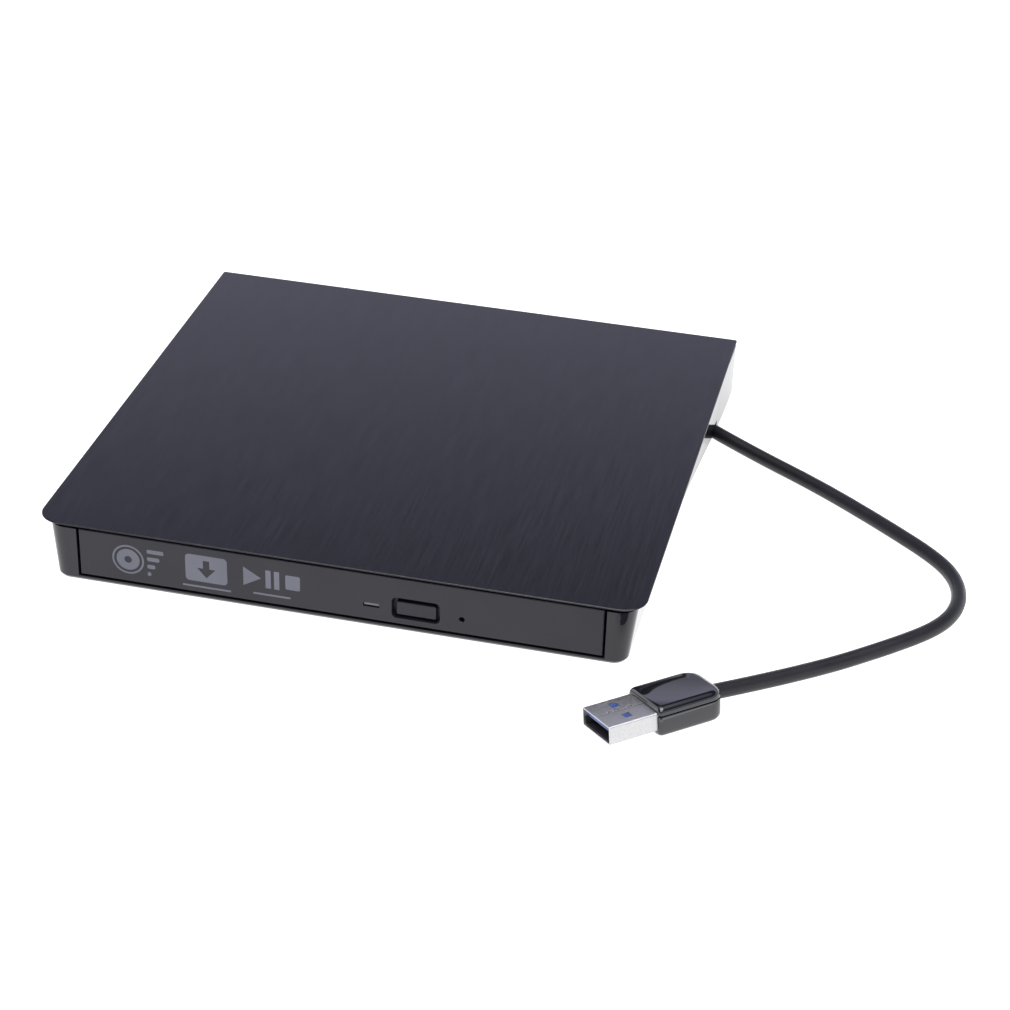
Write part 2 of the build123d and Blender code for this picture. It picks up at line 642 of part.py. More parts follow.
# ---- lead and plug ----
def plug_plane():
    """X from the plug's tip to its tail, Z through its broad top."""
    yaw = math.radians(PLUG_YAW)
    lean = math.sin(LEAN)
    up = (-math.sin(yaw) * lean, math.cos(yaw) * lean, math.cos(LEAN))
    origin = (PLUG_TIP[0], PLUG_TIP[1], PLUG_AXIS_Z)
    return Plane(origin=origin, x_dir=(math.cos(yaw), math.sin(yaw), 0), z_dir=up)


def make_plug_shell():
    long, wide, tall = SHELL
    outer = Box(long + 4, wide, tall, align=(Align.MIN, Align.CENTER, Align.CENTER))
    outer = fillet(outer.edges().filter_by(Axis.X), 0.5)
    inner = Box(long + 4, wide - 2 * SHELL_SHEET, tall - 2 * SHELL_SHEET)
    shell = outer - Pos((long + 4) / 2 - 0.3, 0, 0) * inner
    for v in (-2.85, 2.85):
        for z in (-tall / 2, tall / 2):
            shell -= Pos(6.3, v, z) * Box(1.9, 1.9, 2)
    return plug_plane() * shell


def make_plug_tongue():
    long, wide, tall = SHELL
    inner = tall / 2 - SHELL_SHEET
    tongue = Box(long + 2, wide - 2 * SHELL_SHEET, 1.8, align=(Align.MIN, Align.CENTER, Align.MAX))
    back = Box(2.5, wide - 2 * SHELL_SHEET, 2 * inner, align=(Align.MIN, Align.CENTER, Align.CENTER))
    return plug_plane() * (Pos(TONGUE_SUNK, 0, inner) * tongue + Pos(long + 0.5, 0, 0) * back)


def make_plug_overmould():
    long, wide, tall = OVERMOULD
    body = Box(long, wide, tall, align=(Align.MIN, Align.CENTER, Align.CENTER))
    ends = body.edges().filter_by(Axis.Z).sort_by(Axis.X)[-2:]
    body = fillet(ends, 3.2)
    body = fillet(body.edges().filter_by(Axis.X), OVERMOULD_ROUND)
    pocket = Box(4.1, SHELL[1], SHELL[2], align=(Align.MIN, Align.CENTER, Align.CENTER))
    pocket = fillet(pocket.edges().filter_by(Axis.X), 0.5)
    return plug_plane() * Pos(SHELL[0], 0, 0) * (body - pocket)


def cord(points, radius):
    """A round lead along straight runs joined by arcs as large as the runs allow."""
    radii = []
    for before, here, after in zip(points, points[1:], points[2:]):
        run = min((here - before).length, (after - here).length)
        half_turn = math.radians((here - before).get_angle(after - here)) / 2
        radii.append(0.45 * run / math.tan(half_turn))
    path = FilletPolyline(*points, radius=radii)
    section = Plane(origin=path @ 0, z_dir=path % 0) * Circle(radius)
    lead = sweep(section, path=path)
    print("bend radii", [round(r, 1) for r in radii], "length", round(path.length, 1))
    expected = math.pi * radius**2 * path.length
    print("volume", round(lead.volume, 1), "section times length", round(expected, 1))
    return lead


def make_usb_cable():
    exit_at = Vector(*EXIT_POINT)
    plug_end = plug_plane().from_local_coords((SHELL[0] + OVERMOULD[0], 0, 0))
    lying = CORD_RADIUS
    route = [
        exit_at,
        Vector(83.9, 36.2, lying + 0.05),
        Vector(104.2, 23.1, lying),
        Vector(123.8, 7.7, lying),
        Vector(137.4, -4.2, lying),
        Vector(142.5, -12.9, lying),
        Vector(143.7, -22.9, lying),
        Vector(140.4, -33.0, lying),
        Vector(131.2, -43.4, lying),
        Vector(111.5, -61.3, lying),
        plug_end,
    ]
    return cord(route, CORD_RADIUS)


def all_parts():
    parts = {
        "base_shell": make_base_shell(),
        "top_cover": make_top_cover(),
        "bridge_board": make_bridge_board(),
        "bridge_chip": make_bridge_chip(),
        "bridge_crystal": make_crystal(),
        "sata_socket": make_sata_socket(),
        "sata_plug": make_sata_plug(),
        "cable_header": make_cable_header(),
        "cable_tail": make_cable_tail(),
        "cable_grommet": make_cable_grommet(),
        "drive_bracket": make_drive_bracket(),
        "bracket_screw": make_bracket_screw(),
        "drive_chassis": make_drive_chassis(),
        "drive_cover": make_drive_cover(),
        "latch_post": make_latch_post(),
        "ribbon_lower": make_ribbon_lower(),
        "ribbon_upper": make_ribbon_upper(),
        "disc_tray": make_disc_tray(),
        "tray_bezel": make_tray_bezel(),
        "eject_button": make_eject_button(),
        "led_light_pipe": make_led_light_pipe(),
        "front_board": make_front_board(),
        "button_switch": make_button_switch(),
        "tray_underplate": make_tray_underplate(),
        "traverse_cover": make_traverse_cover(),
        "traverse_frame": make_traverse_frame(),
        "spindle_motor": make_spindle_motor(),
        "turntable": make_turntable(),
        "turntable_ring": make_turntable_ring(),
        "pickup_sled": make_pickup_sled(),
        "lens_holder": make_lens_holder(),
        "pickup_lens": make_pickup_lens(),
        "sled_nut": make_sled_nut(),
        "lead_screw": make_lead_screw(),
        "sled_motor": make_sled_motor(),
        "tray_board": make_tray_board(),
        "tray_chip": make_tray_chip(),
        "latch_hook": make_latch_hook(),
        "latch_pin": make_latch_pin(),
        "latch_solenoid": make_solenoid(),
        "plug_shell": make_plug_shell(),
        "plug_tongue": make_plug_tongue(),
        "plug_overmould": make_plug_overmould(),
        "usb_cable": make_usb_cable(),
    }
    for number, place in enumerate(SCREW_PLACES, 1):
        parts[f"case_screw_{number}"] = make_case_screw(*place)
    for number, place in enumerate(FOOT_PLACES, 1):
        parts[f"foot_{number}"] = make_foot(*place)
    for number, place in enumerate(BOARD_SCREWS, 1):
        parts[f"board_screw_{number}"] = make_board_screw(*place)
    for name, side in (("left", -1), ("right", 1)):
        parts[f"rail_guide_{name}"] = make_rail_guide(side)
        parts[f"rail_{name}"] = make_rail(side)
    for number, offset in enumerate((-ROD_OFFSET, ROD_OFFSET), 1):
        parts[f"guide_rod_{number}"] = make_guide_rod(offset)
    return parts


os.makedirs("parts", exist_ok=True)
for name, shape in all_parts().items():
    export_step(shape, f"parts/{name}.step")
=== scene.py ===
import json
import math

import bmesh
import bpy
from mathutils import Matrix, Vector


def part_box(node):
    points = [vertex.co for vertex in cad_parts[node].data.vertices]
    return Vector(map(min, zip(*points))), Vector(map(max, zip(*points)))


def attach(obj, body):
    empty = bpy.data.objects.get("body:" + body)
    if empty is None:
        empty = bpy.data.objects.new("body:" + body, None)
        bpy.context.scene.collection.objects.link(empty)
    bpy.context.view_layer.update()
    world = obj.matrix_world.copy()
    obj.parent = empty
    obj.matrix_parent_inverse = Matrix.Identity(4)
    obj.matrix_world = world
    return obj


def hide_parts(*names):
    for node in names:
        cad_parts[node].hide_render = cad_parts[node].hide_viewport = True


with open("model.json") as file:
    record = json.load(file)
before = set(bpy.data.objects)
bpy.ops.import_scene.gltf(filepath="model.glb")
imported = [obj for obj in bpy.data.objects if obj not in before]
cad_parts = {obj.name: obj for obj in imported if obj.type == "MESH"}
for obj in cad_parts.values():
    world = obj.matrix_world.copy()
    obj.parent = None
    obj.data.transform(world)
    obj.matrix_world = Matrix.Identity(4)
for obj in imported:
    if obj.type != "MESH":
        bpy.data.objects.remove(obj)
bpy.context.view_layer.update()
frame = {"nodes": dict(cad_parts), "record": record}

NODES = frame["nodes"]
MM = 0.001
LID_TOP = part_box("top_cover")[1][2]
SHARP_FROM = 35  # degrees; an edge that turns more than this stays sharp
WHITE = (1, 1, 1, 1)


# ---- camera ----
AZIMUTH = math.radians(12.25)
ELEVATION = math.radians(31.35)
ROLL = math.radians(2.01)
TARGET = Vector((0.0267, -0.0052, 0.0))
DISTANCE = 0.6394
LENS_MM = 88.9
CLIP_START = 0.01


def make_camera():
    flat = math.cos(ELEVATION)
    back = Vector((math.sin(AZIMUTH) * flat, -math.cos(AZIMUTH) * flat, math.sin(ELEVATION)))
    right = (-back).cross(Vector((0, 0, 1))).normalized()
    up = right.cross(-back)
    rolled_right = right * math.cos(ROLL) + up * math.sin(ROLL)
    rolled_up = up * math.cos(ROLL) - right * math.sin(ROLL)
    place = Matrix((rolled_right, rolled_up, back)).transposed().to_4x4()
    place.translation = TARGET + back * DISTANCE
    data = bpy.data.cameras.new("camera")
    data.lens = LENS_MM
    data.clip_start = CLIP_START
    camera = bpy.data.objects.new("camera", data)
    camera.matrix_world = place
    bpy.context.collection.objects.link(camera)
    bpy.context.scene.camera = camera


make_camera()


# ---- small helpers ----
def add_object(name, data, body):
    obj = bpy.data.objects.new(name, data)
    bpy.context.collection.objects.link(obj)
    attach(obj, body)
    return obj


def paint(obj, material):
    obj.data.materials.clear()
    obj.data.materials.append(material)


def mesh_object(name, bm, body, place, material, sharp_from=SHARP_FROM):
    """A painted piece from a bmesh in millimetres, which place takes from its own frame to the part's."""
    bmesh.ops.recalc_face_normals(bm, faces=bm.faces)
    bm.transform(Matrix.Scale(MM, 4))
    bm.transform(place)
    mesh = bpy.data.meshes.new(name)
    bm.to_mesh(mesh)
    bm.free()
    mesh.shade_smooth()
    mesh.set_sharp_from_angle(angle=math.radians(sharp_from))
    obj = add_object(name, mesh, body)
    paint(obj, material)
    return obj


def box_into(bm, low, high, bevel=0.0, segments=2, turned=Matrix()):
    """Adds a box between two corners, its edges rounded by bevel, then turned."""
    size = [b - a for a, b in zip(low, high)]
    middle = [(a + b) / 2 for a, b in zip(low, high)]
    place = turned @ Matrix.Translation(middle) @ Matrix.Diagonal((*size, 1))
    made = bmesh.ops.create_cube(bm, size=1, matrix=place)
    if bevel > 0:
        edges = list({e for v in made["verts"] for e in v.link_edges})
        bmesh.ops.bevel(bm, geom=edges, offset=bevel, segments=segments, affect="EDGES", profile=0.5)


def loft_into(bm, rings, cap_last=True):
    """Joins rings of equally many points with quads, in order; the first ring is capped."""
    rows = [[bm.verts.new(p) for p in ring] for ring in rings]
    count = len(rows[0])
    for a, b in zip(rows, rows[1:]):
        for i in range(count):
            j = (i + 1) % count
            bm.faces.new((a[i], a[j], b[j], b[i]))
    bm.faces.new(reversed(rows[0]))
    if cap_last:
        bm.faces.new(rows[-1])


def circle(radius, centre=(0, 0), steps=64):
    turns = [2 * math.pi * i / steps for i in range(steps)]
    return [(centre[0] + radius * math.cos(t), centre[1] + radius * math.sin(t)) for t in turns]


def corner_arcs(corners, steps):
    """A rounded outline: one quarter turn for each (x, y, radius), x and y being the arc's centre."""
    points = []
    for number, (x, y, radius) in enumerate(corners):
        for i in range(steps + 1):
            turn = math.radians(90 * (number + i / steps))
            points.append((x + radius * math.cos(turn), y + radius * math.sin(turn)))
    return points


def turn_into(bm, profile, cap_last=True, **where):
    """Turns (radius, z) points about an upright line; where is passed on to circle."""
    loft_into(bm, [[(x, y, z) for x, y in circle(radius, **where)] for radius, z in profile], cap_last)


# ---- materials ----
NOISE_LOW, NOISE_HIGH = 0.3, 0.7  # the span that a noise mostly keeps to


def new_material(name, color, roughness, metallic=0.0):
    material = bpy.data.materials.new(name)
    material.use_nodes = True
    material.diffuse_color = (*color, 1)
    shader = material.node_tree.nodes["Principled BSDF"]
    shader.inputs["Base Color"].default_value = (*color, 1)
    shader.inputs["Roughness"].default_value = roughness
    shader.inputs["Metallic"].default_value = metallic
    return material, shader


def noise(material, scale, stretch=(1, 1, 1), detail=3.0):
    """A noise in the piece's own coordinates: scale times stretch is its features per metre."""
    tree = material.node_tree
    place = tree.nodes.new("ShaderNodeTexCoord")
    mapping = tree.nodes.new("ShaderNodeMapping")
    mapping.inputs["Scale"].default_value = stretch
    texture = tree.nodes.new("ShaderNodeTexNoise")
    texture.inputs["Scale"].default_value = scale
    texture.inputs["Detail"].default_value = detail
    tree.links.new(place.outputs["Object"], mapping.inputs["Vector"])
    tree.links.new(mapping.outputs["Vector"], texture.inputs["Vector"])
    return texture.outputs["Fac"]


def spread(material, source, low, high, start=NOISE_LOW, end=NOISE_HIGH):
    """source, from start to end, as a number from low to high."""
    node = material.node_tree.nodes.new("ShaderNodeMapRange")
    node.inputs["From Min"].default_value = start
    node.inputs["From Max"].default_value = end
    node.inputs["To Min"].default_value = low
    node.inputs["To Max"].default_value = high
    material.node_tree.links.new(source, node.inputs["Value"])
    return node.outputs["Result"]


def tint(material, shader, source, dark, light):
    """Colour from dark to light by source."""
    ramp = material.node_tree.nodes.new("ShaderNodeValToRGB")
    ends = ((dark, NOISE_LOW), (light, NOISE_HIGH))
    for stop, (color, position) in zip(ramp.color_ramp.elements, ends):
        stop.color = (*color, 1)
        stop.position = position
    material.node_tree.links.new(source, ramp.inputs["Fac"])
    material.node_tree.links.new(ramp.outputs["Color"], shader.inputs["Base Color"])


def bump(material, shader, source, strength, height):
    """Relief by source, height metres deep."""
    node = material.node_tree.nodes.new("ShaderNodeBump")
    node.inputs["Strength"].default_value = strength
    node.inputs["Distance"].default_value = height
    material.node_tree.links.new(source, node.inputs["Height"])
    material.node_tree.links.new(node.outputs["Normal"], shader.inputs["Normal"])


def rough(material, shader, source, low, high):
    """Roughness from low to high by source."""
    material.node_tree.links.new(spread(material, source, low, high), shader.inputs["Roughness"])


def plastic(name, dark, light, roughness, grain=4000, depth=0.00001, strength=0.2):
    """Moulded plastic: faint uneven colour, a fine mould grain and uneven gloss."""
    material, shader = new_material(name, light, roughness)
    tint(material, shader, noise(material, 60, detail=6), dark, light)
    rough(material, shader, noise(material, 180, detail=5), roughness * 0.85, roughness * 1.15)
    bump(material, shader, noise(material, grain, detail=2), strength, depth)
    return material


def metal(name, dark, light, roughness, stretch=(1, 1, 1), grain=1500, depth=0.000004):
    """Sheet or turned metal, brushed where stretch says."""
    material, shader = new_material(name, light, roughness, 1.0)
    lines = noise(material, grain, stretch, detail=4)
    tint(material, shader, lines, dark, light)
    patches = noise(material, grain * 0.7, stretch, detail=3)
    rough(material, shader, patches, roughness * 0.8, roughness * 1.25)
    bump(material, shader, lines, 0.3, depth)
    return material


def brushed_lid():
    """Black brushed finish, its fine lines running from front to back, with a dull rim."""
    material, shader = new_material("lid_brushed", (0.004, 0.004, 0.006), 0.26)
    fine = noise(material, 1, (4200, 20, 1))
    broad = noise(material, 1, (1700, 60, 1))
    tint(material, shader, broad, (0, 0, 0.0016), (0.0078, 0.0078, 0.0122))
    bump(material, shader, fine, strength=0.4, height=0.000008)
    tree = material.node_tree
    height = tree.nodes.new("ShaderNodeSeparateXYZ")
    place = tree.nodes.new("ShaderNodeTexCoord")
    tree.links.new(place.outputs["Object"], height.inputs["Vector"])
    rim_low, rim_high = LID_TOP - 0.0005, LID_TOP - 0.00025
    rim = spread(material, height.outputs["Z"], 0.7, 0.0, rim_low, rim_high)
    most = tree.nodes.new("ShaderNodeMath")
    most.operation = "MAXIMUM"
    tree.links.new(rim, most.inputs[0])
    tree.links.new(spread(material, fine, 0.235, 0.268), most.inputs[1])
    tree.links.new(most.outputs["Value"], shader.inputs["Roughness"])
    return material


def light_pipe():
    """Milky clear plastic."""
    material, shader = new_material("light_pipe", (0.12, 0.12, 0.13), 0.3)
    tint(material, shader, noise(material, 300), (0.10, 0.10, 0.11), (0.13, 0.13, 0.145))
    rough(material, shader, noise(material, 500), 0.2, 0.35)
    return material


def lens_glass():
    """Coated glass that looks blue."""
    material, shader = new_material("lens_glass", (0.35, 0.45, 0.8), 0.05)
    tint(material, shader, noise(material, 250), (0.10, 0.14, 0.35), (0.22, 0.30, 0.6))
    shader.inputs["Coat Weight"].default_value = 1.0
    shader.inputs["Coat Roughness"].default_value = 0.02
    return material


def circuit_board():
    """Green solder mask with a mottled relief, as of fine tracks."""
    material, shader = new_material("board_green", (0.02, 0.12, 0.06), 0.4)
    tint(material, shader, noise(material, 900, detail=8), (0.012, 0.075, 0.035), (0.03, 0.15, 0.075))
    rough(material, shader, noise(material, 700), 0.3, 0.5)
    bump(material, shader, noise(material, 900, detail=8), strength=0.3, height=0.00003)
    return material


MATERIALS = {
    "lid": brushed_lid(),
    "shell": plastic("shell_gloss", (0.007, 0.0065, 0.010), (0.010, 0.0095, 0.014), 0.03,
                     grain=900, depth=0.000001, strength=0.05),
    "bezel": plastic("bezel_satin", (0.007, 0.0065, 0.011), (0.010, 0.0095, 0.015), 0.36,
                     grain=6000, depth=0.000006),
    "tray": plastic("tray_matte", (0.0148, 0.0148, 0.0163), (0.0152, 0.0152, 0.0167), 0.6,
                    grain=5000, strength=0.3),
    "rubber": plastic("rubber_black", (0.012, 0.012, 0.012), (0.025, 0.025, 0.025), 0.75,
                      grain=3000, depth=0.00003, strength=0.5),
    "steel": metal("steel_sheet", (0.16, 0.16, 0.17), (0.25, 0.25, 0.26), 0.38, (0.05, 1, 1)),
    "sheet": metal("aluminium_sheet", (0.19, 0.19, 0.20), (0.28, 0.28, 0.29), 0.4, (1, 0.05, 1)),
    "screw": metal("screw_steel", (0.10, 0.10, 0.11), (0.2, 0.2, 0.21), 0.38),
    "board": circuit_board(),
    "chip": plastic("chip_black", (0.012, 0.012, 0.012), (0.022, 0.022, 0.022), 0.6,
                    grain=8000, strength=0.4),
    "connector": plastic("connector_black", (0.012, 0.012, 0.013), (0.022, 0.022, 0.024), 0.4),
    "clear": light_pipe(),
    "ribbon": plastic("ribbon_amber", (0.36, 0.19, 0.05), (0.48, 0.27, 0.08), 0.35),
    "lens": lens_glass(),
    "brass": metal("coil_brass", (0.45, 0.26, 0.12), (0.62, 0.38, 0.18), 0.35),
    "white_plastic": plastic("nylon_white", (0.60, 0.59, 0.55), (0.72, 0.71, 0.67), 0.45),
    "cord": plastic("cord_black", (0.005, 0.005, 0.007), (0.009, 0.009, 0.012), 0.42,
                    grain=2500, strength=0.25),
    "overmould": plastic("grip_gloss", (0.005, 0.005, 0.008), (0.008, 0.008, 0.012), 0.04,
                         grain=900, depth=0.000001, strength=0.05),
    "usb_shell": metal("plug_steel", (0.47, 0.47, 0.47), (0.55, 0.55, 0.55), 0.42,
                       grain=2500, depth=0.0000005),
    "usb_blue": plastic("plug_blue", (0.018, 0.045, 0.19), (0.030, 0.07, 0.26), 0.35),
}
PRINT = plastic("print_grey", (0.074, 0.077, 0.100), (0.100, 0.104, 0.130), 0.45)
# how strongly each of these reflects
for slot, ior in (("shell", 1.45), ("bezel", 1.41), ("cord", 1.38), ("overmould", 1.62)):
    MATERIALS[slot].node_tree.nodes["Principled BSDF"].inputs["IOR"].default_value = ior
# Dark steel: the seam's real joint line, and painted shade in the screws' cross slots.
JOINT_DARK_AND_SLOT_SHADE = metal("joint_dark_and_slot_shade", (0.03, 0.03, 0.03), (0.06, 0.06, 0.06), 0.5)
# Near-white steel for a strip beside the seam: a painted highlight where the joint's edge catches the light.
SEAM_HIGHLIGHT = metal("seam_painted_highlight", (0.8, 0.8, 0.8), (0.95, 0.95, 0.95), 0.5)
GOLD = metal("contact_gold", (0.75, 0.52, 0.20), (0.9, 0.66, 0.30), 0.25)
# Darker than bare steel: painted shade in the mechanism's window, and partly the black frame a real drive
# shows there.
PLATE_SHADE = metal("plate_painted_shade", (0.035, 0.035, 0.038), (0.055, 0.055, 0.06), 0.5, (0.05, 1, 1))


def paint_nodes():
    for part in frame["record"]["subparts"]:
        obj = NODES[part["node"]]
        material = MATERIALS[part["material_slot"]]
        for slot in obj.material_slots:
            slot.material = material
        if not obj.material_slots:
            obj.data.materials.append(material)


# ---- lead and plug; the plug's own frame has X from its tip to its tail and Z up through its broad top ----
CORD_RADIUS_MM = 1.85
CORD_RADIUS = CORD_RADIUS_MM * MM
PLUG_YAW = math.radians(41.2)
PLUG_ROLL = math.radians(10.0)
PLUG_TIP = Vector((69.3, -98.4, 4.569)) * MM
SHELL_LENGTH, SHELL_WIDTH, SHELL_HEIGHT = 12.2, 12.0, 4.5
SHELL_WALL = 0.3
TONGUE_THICK = 1.8
GRIP_LENGTH, GRIP_WIDTH, GRIP_HEIGHT = 17.4, 13.8, 7.2
SHELL_END_RADIUS, LEAD_END_RADIUS = 0.9, 3.4
CORD_EXIT = Vector((71.5, 43.6, 3.05)) * MM
CORD_ROUTE = (
    (83.9, 36.2, CORD_RADIUS_MM + 0.05),
    (104.2, 23.1, CORD_RADIUS_MM),
    (123.8, 7.7, CORD_RADIUS_MM),
    (137.4, -4.2, CORD_RADIUS_MM),
    (142.5, -12.9, CORD_RADIUS_MM),
    (143.7, -22.9, CORD_RADIUS_MM),
    (140.4, -33.0, CORD_RADIUS_MM),
    (131.2, -43.4, CORD_RADIUS_MM),
    (111.5, -61.3, CORD_RADIUS_MM),
)


def plug_place():
    lean = math.sin(PLUG_ROLL)
    along = Vector((math.cos(PLUG_YAW), math.sin(PLUG_YAW), 0))
    up = Vector((-math.sin(PLUG_YAW) * lean, math.cos(PLUG_YAW) * lean, math.cos(PLUG_ROLL)))
    across = up.cross(along)
    place = Matrix((along, across, up)).transposed().to_4x4()
    place.translation = PLUG_TIP
    return place


PLUG_FRAME = plug_place()


def plug_piece(name, bm, material, sharp_from=SHARP_FROM):
    return mesh_object(name, bm, "housing", PLUG_FRAME, material, sharp_from)


def make_cord():
    """The lead from the case's right wall to the grip, lying on the table but for its start and end."""
    plug_end = PLUG_FRAME @ Vector(((SHELL_LENGTH + GRIP_LENGTH) * MM, 0, 0))
    route = [CORD_EXIT, *(Vector(point) * MM for point in CORD_ROUTE), plug_end]
    data = bpy.data.curves.new("usb_lead", "CURVE")
    data.dimensions = "3D"
    data.bevel_depth = CORD_RADIUS
    data.bevel_resolution = 8
    data.resolution_u = 24
    data.use_fill_caps = True
    spline = data.splines.new("NURBS")
    spline.points.add(len(route) - 1)
    for point, place in zip(spline.points, route):
        point.co = (*place, 1)
    spline.order_u = 3
    spline.use_endpoint_u = True
    data.materials.append(MATERIALS["cord"])
    return add_object("usb_lead", data, "housing")


def grip_outline(inset, z):
    """The grip's plan at height z: square towards the shell, well rounded towards the lead."""
    x0, x1 = SHELL_LENGTH + min(inset, 0.5), SHELL_LENGTH + GRIP_LENGTH - inset
    half = GRIP_WIDTH / 2 - inset
    corners = [
        (x1 - LEAD_END_RADIUS, half - LEAD_END_RADIUS, LEAD_END_RADIUS),
        (x0 + SHELL_END_RADIUS, half - SHELL_END_RADIUS, SHELL_END_RADIUS),
        (x0 + SHELL_END_RADIUS, SHELL_END_RADIUS - half, SHELL_END_RADIUS),
        (x1 - LEAD_END_RADIUS, LEAD_END_RADIUS - half, LEAD_END_RADIUS),
    ]
    return [(x, y, z) for x, y in corner_arcs(corners, 7)]


def make_grip():
    """Glossy two-part grip: a lower half, a fine groove, and a bevelled top half."""
    half = GRIP_HEIGHT / 2
    levels = [
        (1.5, -half), (0.75, -half + 0.1), (0.25, -half + 0.45), (0.05, -half + 0.95), (0.0, -half + 1.5),
        (0.0, 1.2), (0.06, 1.34), (0.4, 1.38), (0.4, 1.64), (0.08, 1.68),
        (0.0, 1.84), (0.03, 2.35), (0.2, 2.85), (0.55, 3.28), (1.0, 3.5), (1.5, half),
    ]
    bm = bmesh.new()
    loft_into(bm, [grip_outline(inset, z) for inset, z in levels])
    grip = plug_piece("plug_grip", bm, MATERIALS["overmould"], sharp_from=40)
    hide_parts("plug_overmould")
    return grip


def make_contacts():
    """Four gold strips under the blue tongue, and five short ones behind them."""
    bm = bmesh.new()
    under = SHELL_HEIGHT / 2 - SHELL_WALL - TONGUE_THICK
    for v in (-3.5, -1.0, 1.0, 3.5):
        box_into(bm, (1.8, v - 0.5, under - 0.12), (8.6, v + 0.5, under), 0.05, 1)
    for v in (-4.0, -2.0, 0.0, 2.0, 4.0):
        box_into(bm, (9.2, v - 0.35, under - 0.25), (11.4, v + 0.35, under), 0.05, 1)
    return plug_piece("plug_contacts", bm, GOLD)


def make_throat_shade():
    """Dark sheets inside the plug's mouth, below the tongue: painted shade for the hollow."""
    half, low = SHELL_WIDTH / 2 - SHELL_WALL, SHELL_WALL - SHELL_HEIGHT / 2
    front, back, shade_thick = 0.5, 12.0, 0.08
    # Black sheets on the mouth's floor and sides: painted shade.
    bm = bmesh.new()
    box_into(bm, (front, -half, low), (back, half, low + shade_thick))
    for side in (-1, 1):
        inner, outer = sorted((side * half, side * (half - shade_thick)))
        box_into(bm, (front, inner, low), (back, outer, low + 2.0))
    return plug_piece("plug_throat_shade", bm, MATERIALS["chip"])


SEAM_PATH = (
    (0.3, 0.0), (3.6, 0.0), (3.2, 0.7), (4.6, 0.7), (4.2, 0.0),
    (8.6, 0.0), (8.2, 0.7), (9.6, 0.7), (9.2, 0.0), (12.0, 0.0),
)


def strip_into(bm, path, half_width, low, high, shift):
    """A thin strip along a zigzag of (x, y) points, moved sideways by shift."""
    for a, b in zip(path, path[1:]):
        run = Vector((b[0] - a[0], b[1] - a[1]))
        side = Vector((-run.y, run.x)).normalized()
        near, far = side * (shift - half_width), side * (shift + half_width)
        corners = [(a[0] + near.x, a[1] + near.y), (b[0] + near.x, b[1] + near.y),
                   (b[0] + far.x, b[1] + far.y), (a[0] + far.x, a[1] + far.y)]
        loft_into(bm, [[(x, y, z) for x, y in corners] for z in (low, high)])


def make_shell_seam(name, shift, half_width, material):
    """The folded steel's joint down the middle of the broad face, with its dovetails; shifted sideways, the
    same strip carries the joint's painted highlight.
    """
    top = SHELL_HEIGHT / 2
    bm = bmesh.new()
    strip_into(bm, SEAM_PATH, half_width, top - 0.05, top + 0.03, shift)
    return plug_piece(name, bm, material)


cord = make_cord()
plug_pieces = [
    make_grip(),
    make_contacts(),
    make_throat_shade(),
    make_shell_seam("plug_seam", 0.0, 0.06, JOINT_DARK_AND_SLOT_SHADE),
    # The bright strip beside the joint is a painted highlight.
    make_shell_seam("plug_seam_highlight", 0.14, 0.07, SEAM_HIGHLIGHT),
    NODES["plug_shell"],
    NODES["plug_tongue"],
]
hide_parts("usb_cable")
paint_nodes()
# These plates are painted dark: painted shade in the mechanism's window, partly the dark frame behind it.
for node in ("tray_underplate", "traverse_frame"):
    paint(NODES[node], PLATE_SHADE)


# ---- printed marks on the tray's face ----
FACE_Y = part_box("tray_bezel")[0][1]
MARK_THICK = 0.02
DISC_MIDDLE = (-2.6, 0.0)
DISC_RADII = (4.0, 3.55, 2.9, 0.95)


def flat_mark(name, outlines, x, z):
    """Printed shapes on the tray's face; outlines inside others are holes. Millimetres."""
    data = bpy.data.curves.new(name, "CURVE")
    data.dimensions = "2D"
    data.fill_mode = "BOTH"
    data.extrude = MARK_THICK * MM / 2
    for outline in outlines:
        spline = data.splines.new("POLY")
        spline.points.add(len(outline) - 1)
        for point, (u, v) in zip(spline.points, outline):
            point.co = (u * MM, v * MM, 0, 1)
        spline.use_cyclic_u = True
    shape = bpy.data.objects.new(name, data)
    mesh = bpy.data.meshes.new_from_object(shape)
    bpy.data.objects.remove(shape)
    bpy.data.curves.remove(data)
    mesh.transform(Matrix.Rotation(math.pi / 2, 4, "X"))
    mesh.transform(Matrix.Translation((x * MM, FACE_Y, z * MM)))
    mesh.name = name
    paint(add_object(name, mesh, "tray"), PRINT)


def bar_points(u0, u1, v0, v1, radius=0.0):
    """A bar's outline, its corners rounded by radius."""
    if radius == 0:
        return [(u0, v0), (u1, v0), (u1, v1), (u0, v1)]
    left, right, low, high = u0 + radius, u1 - radius, v0 + radius, v1 - radius
    centres = ((right, high), (left, high), (left, low), (right, low))
    return corner_arcs([(u, v, radius) for u, v in centres], 5)


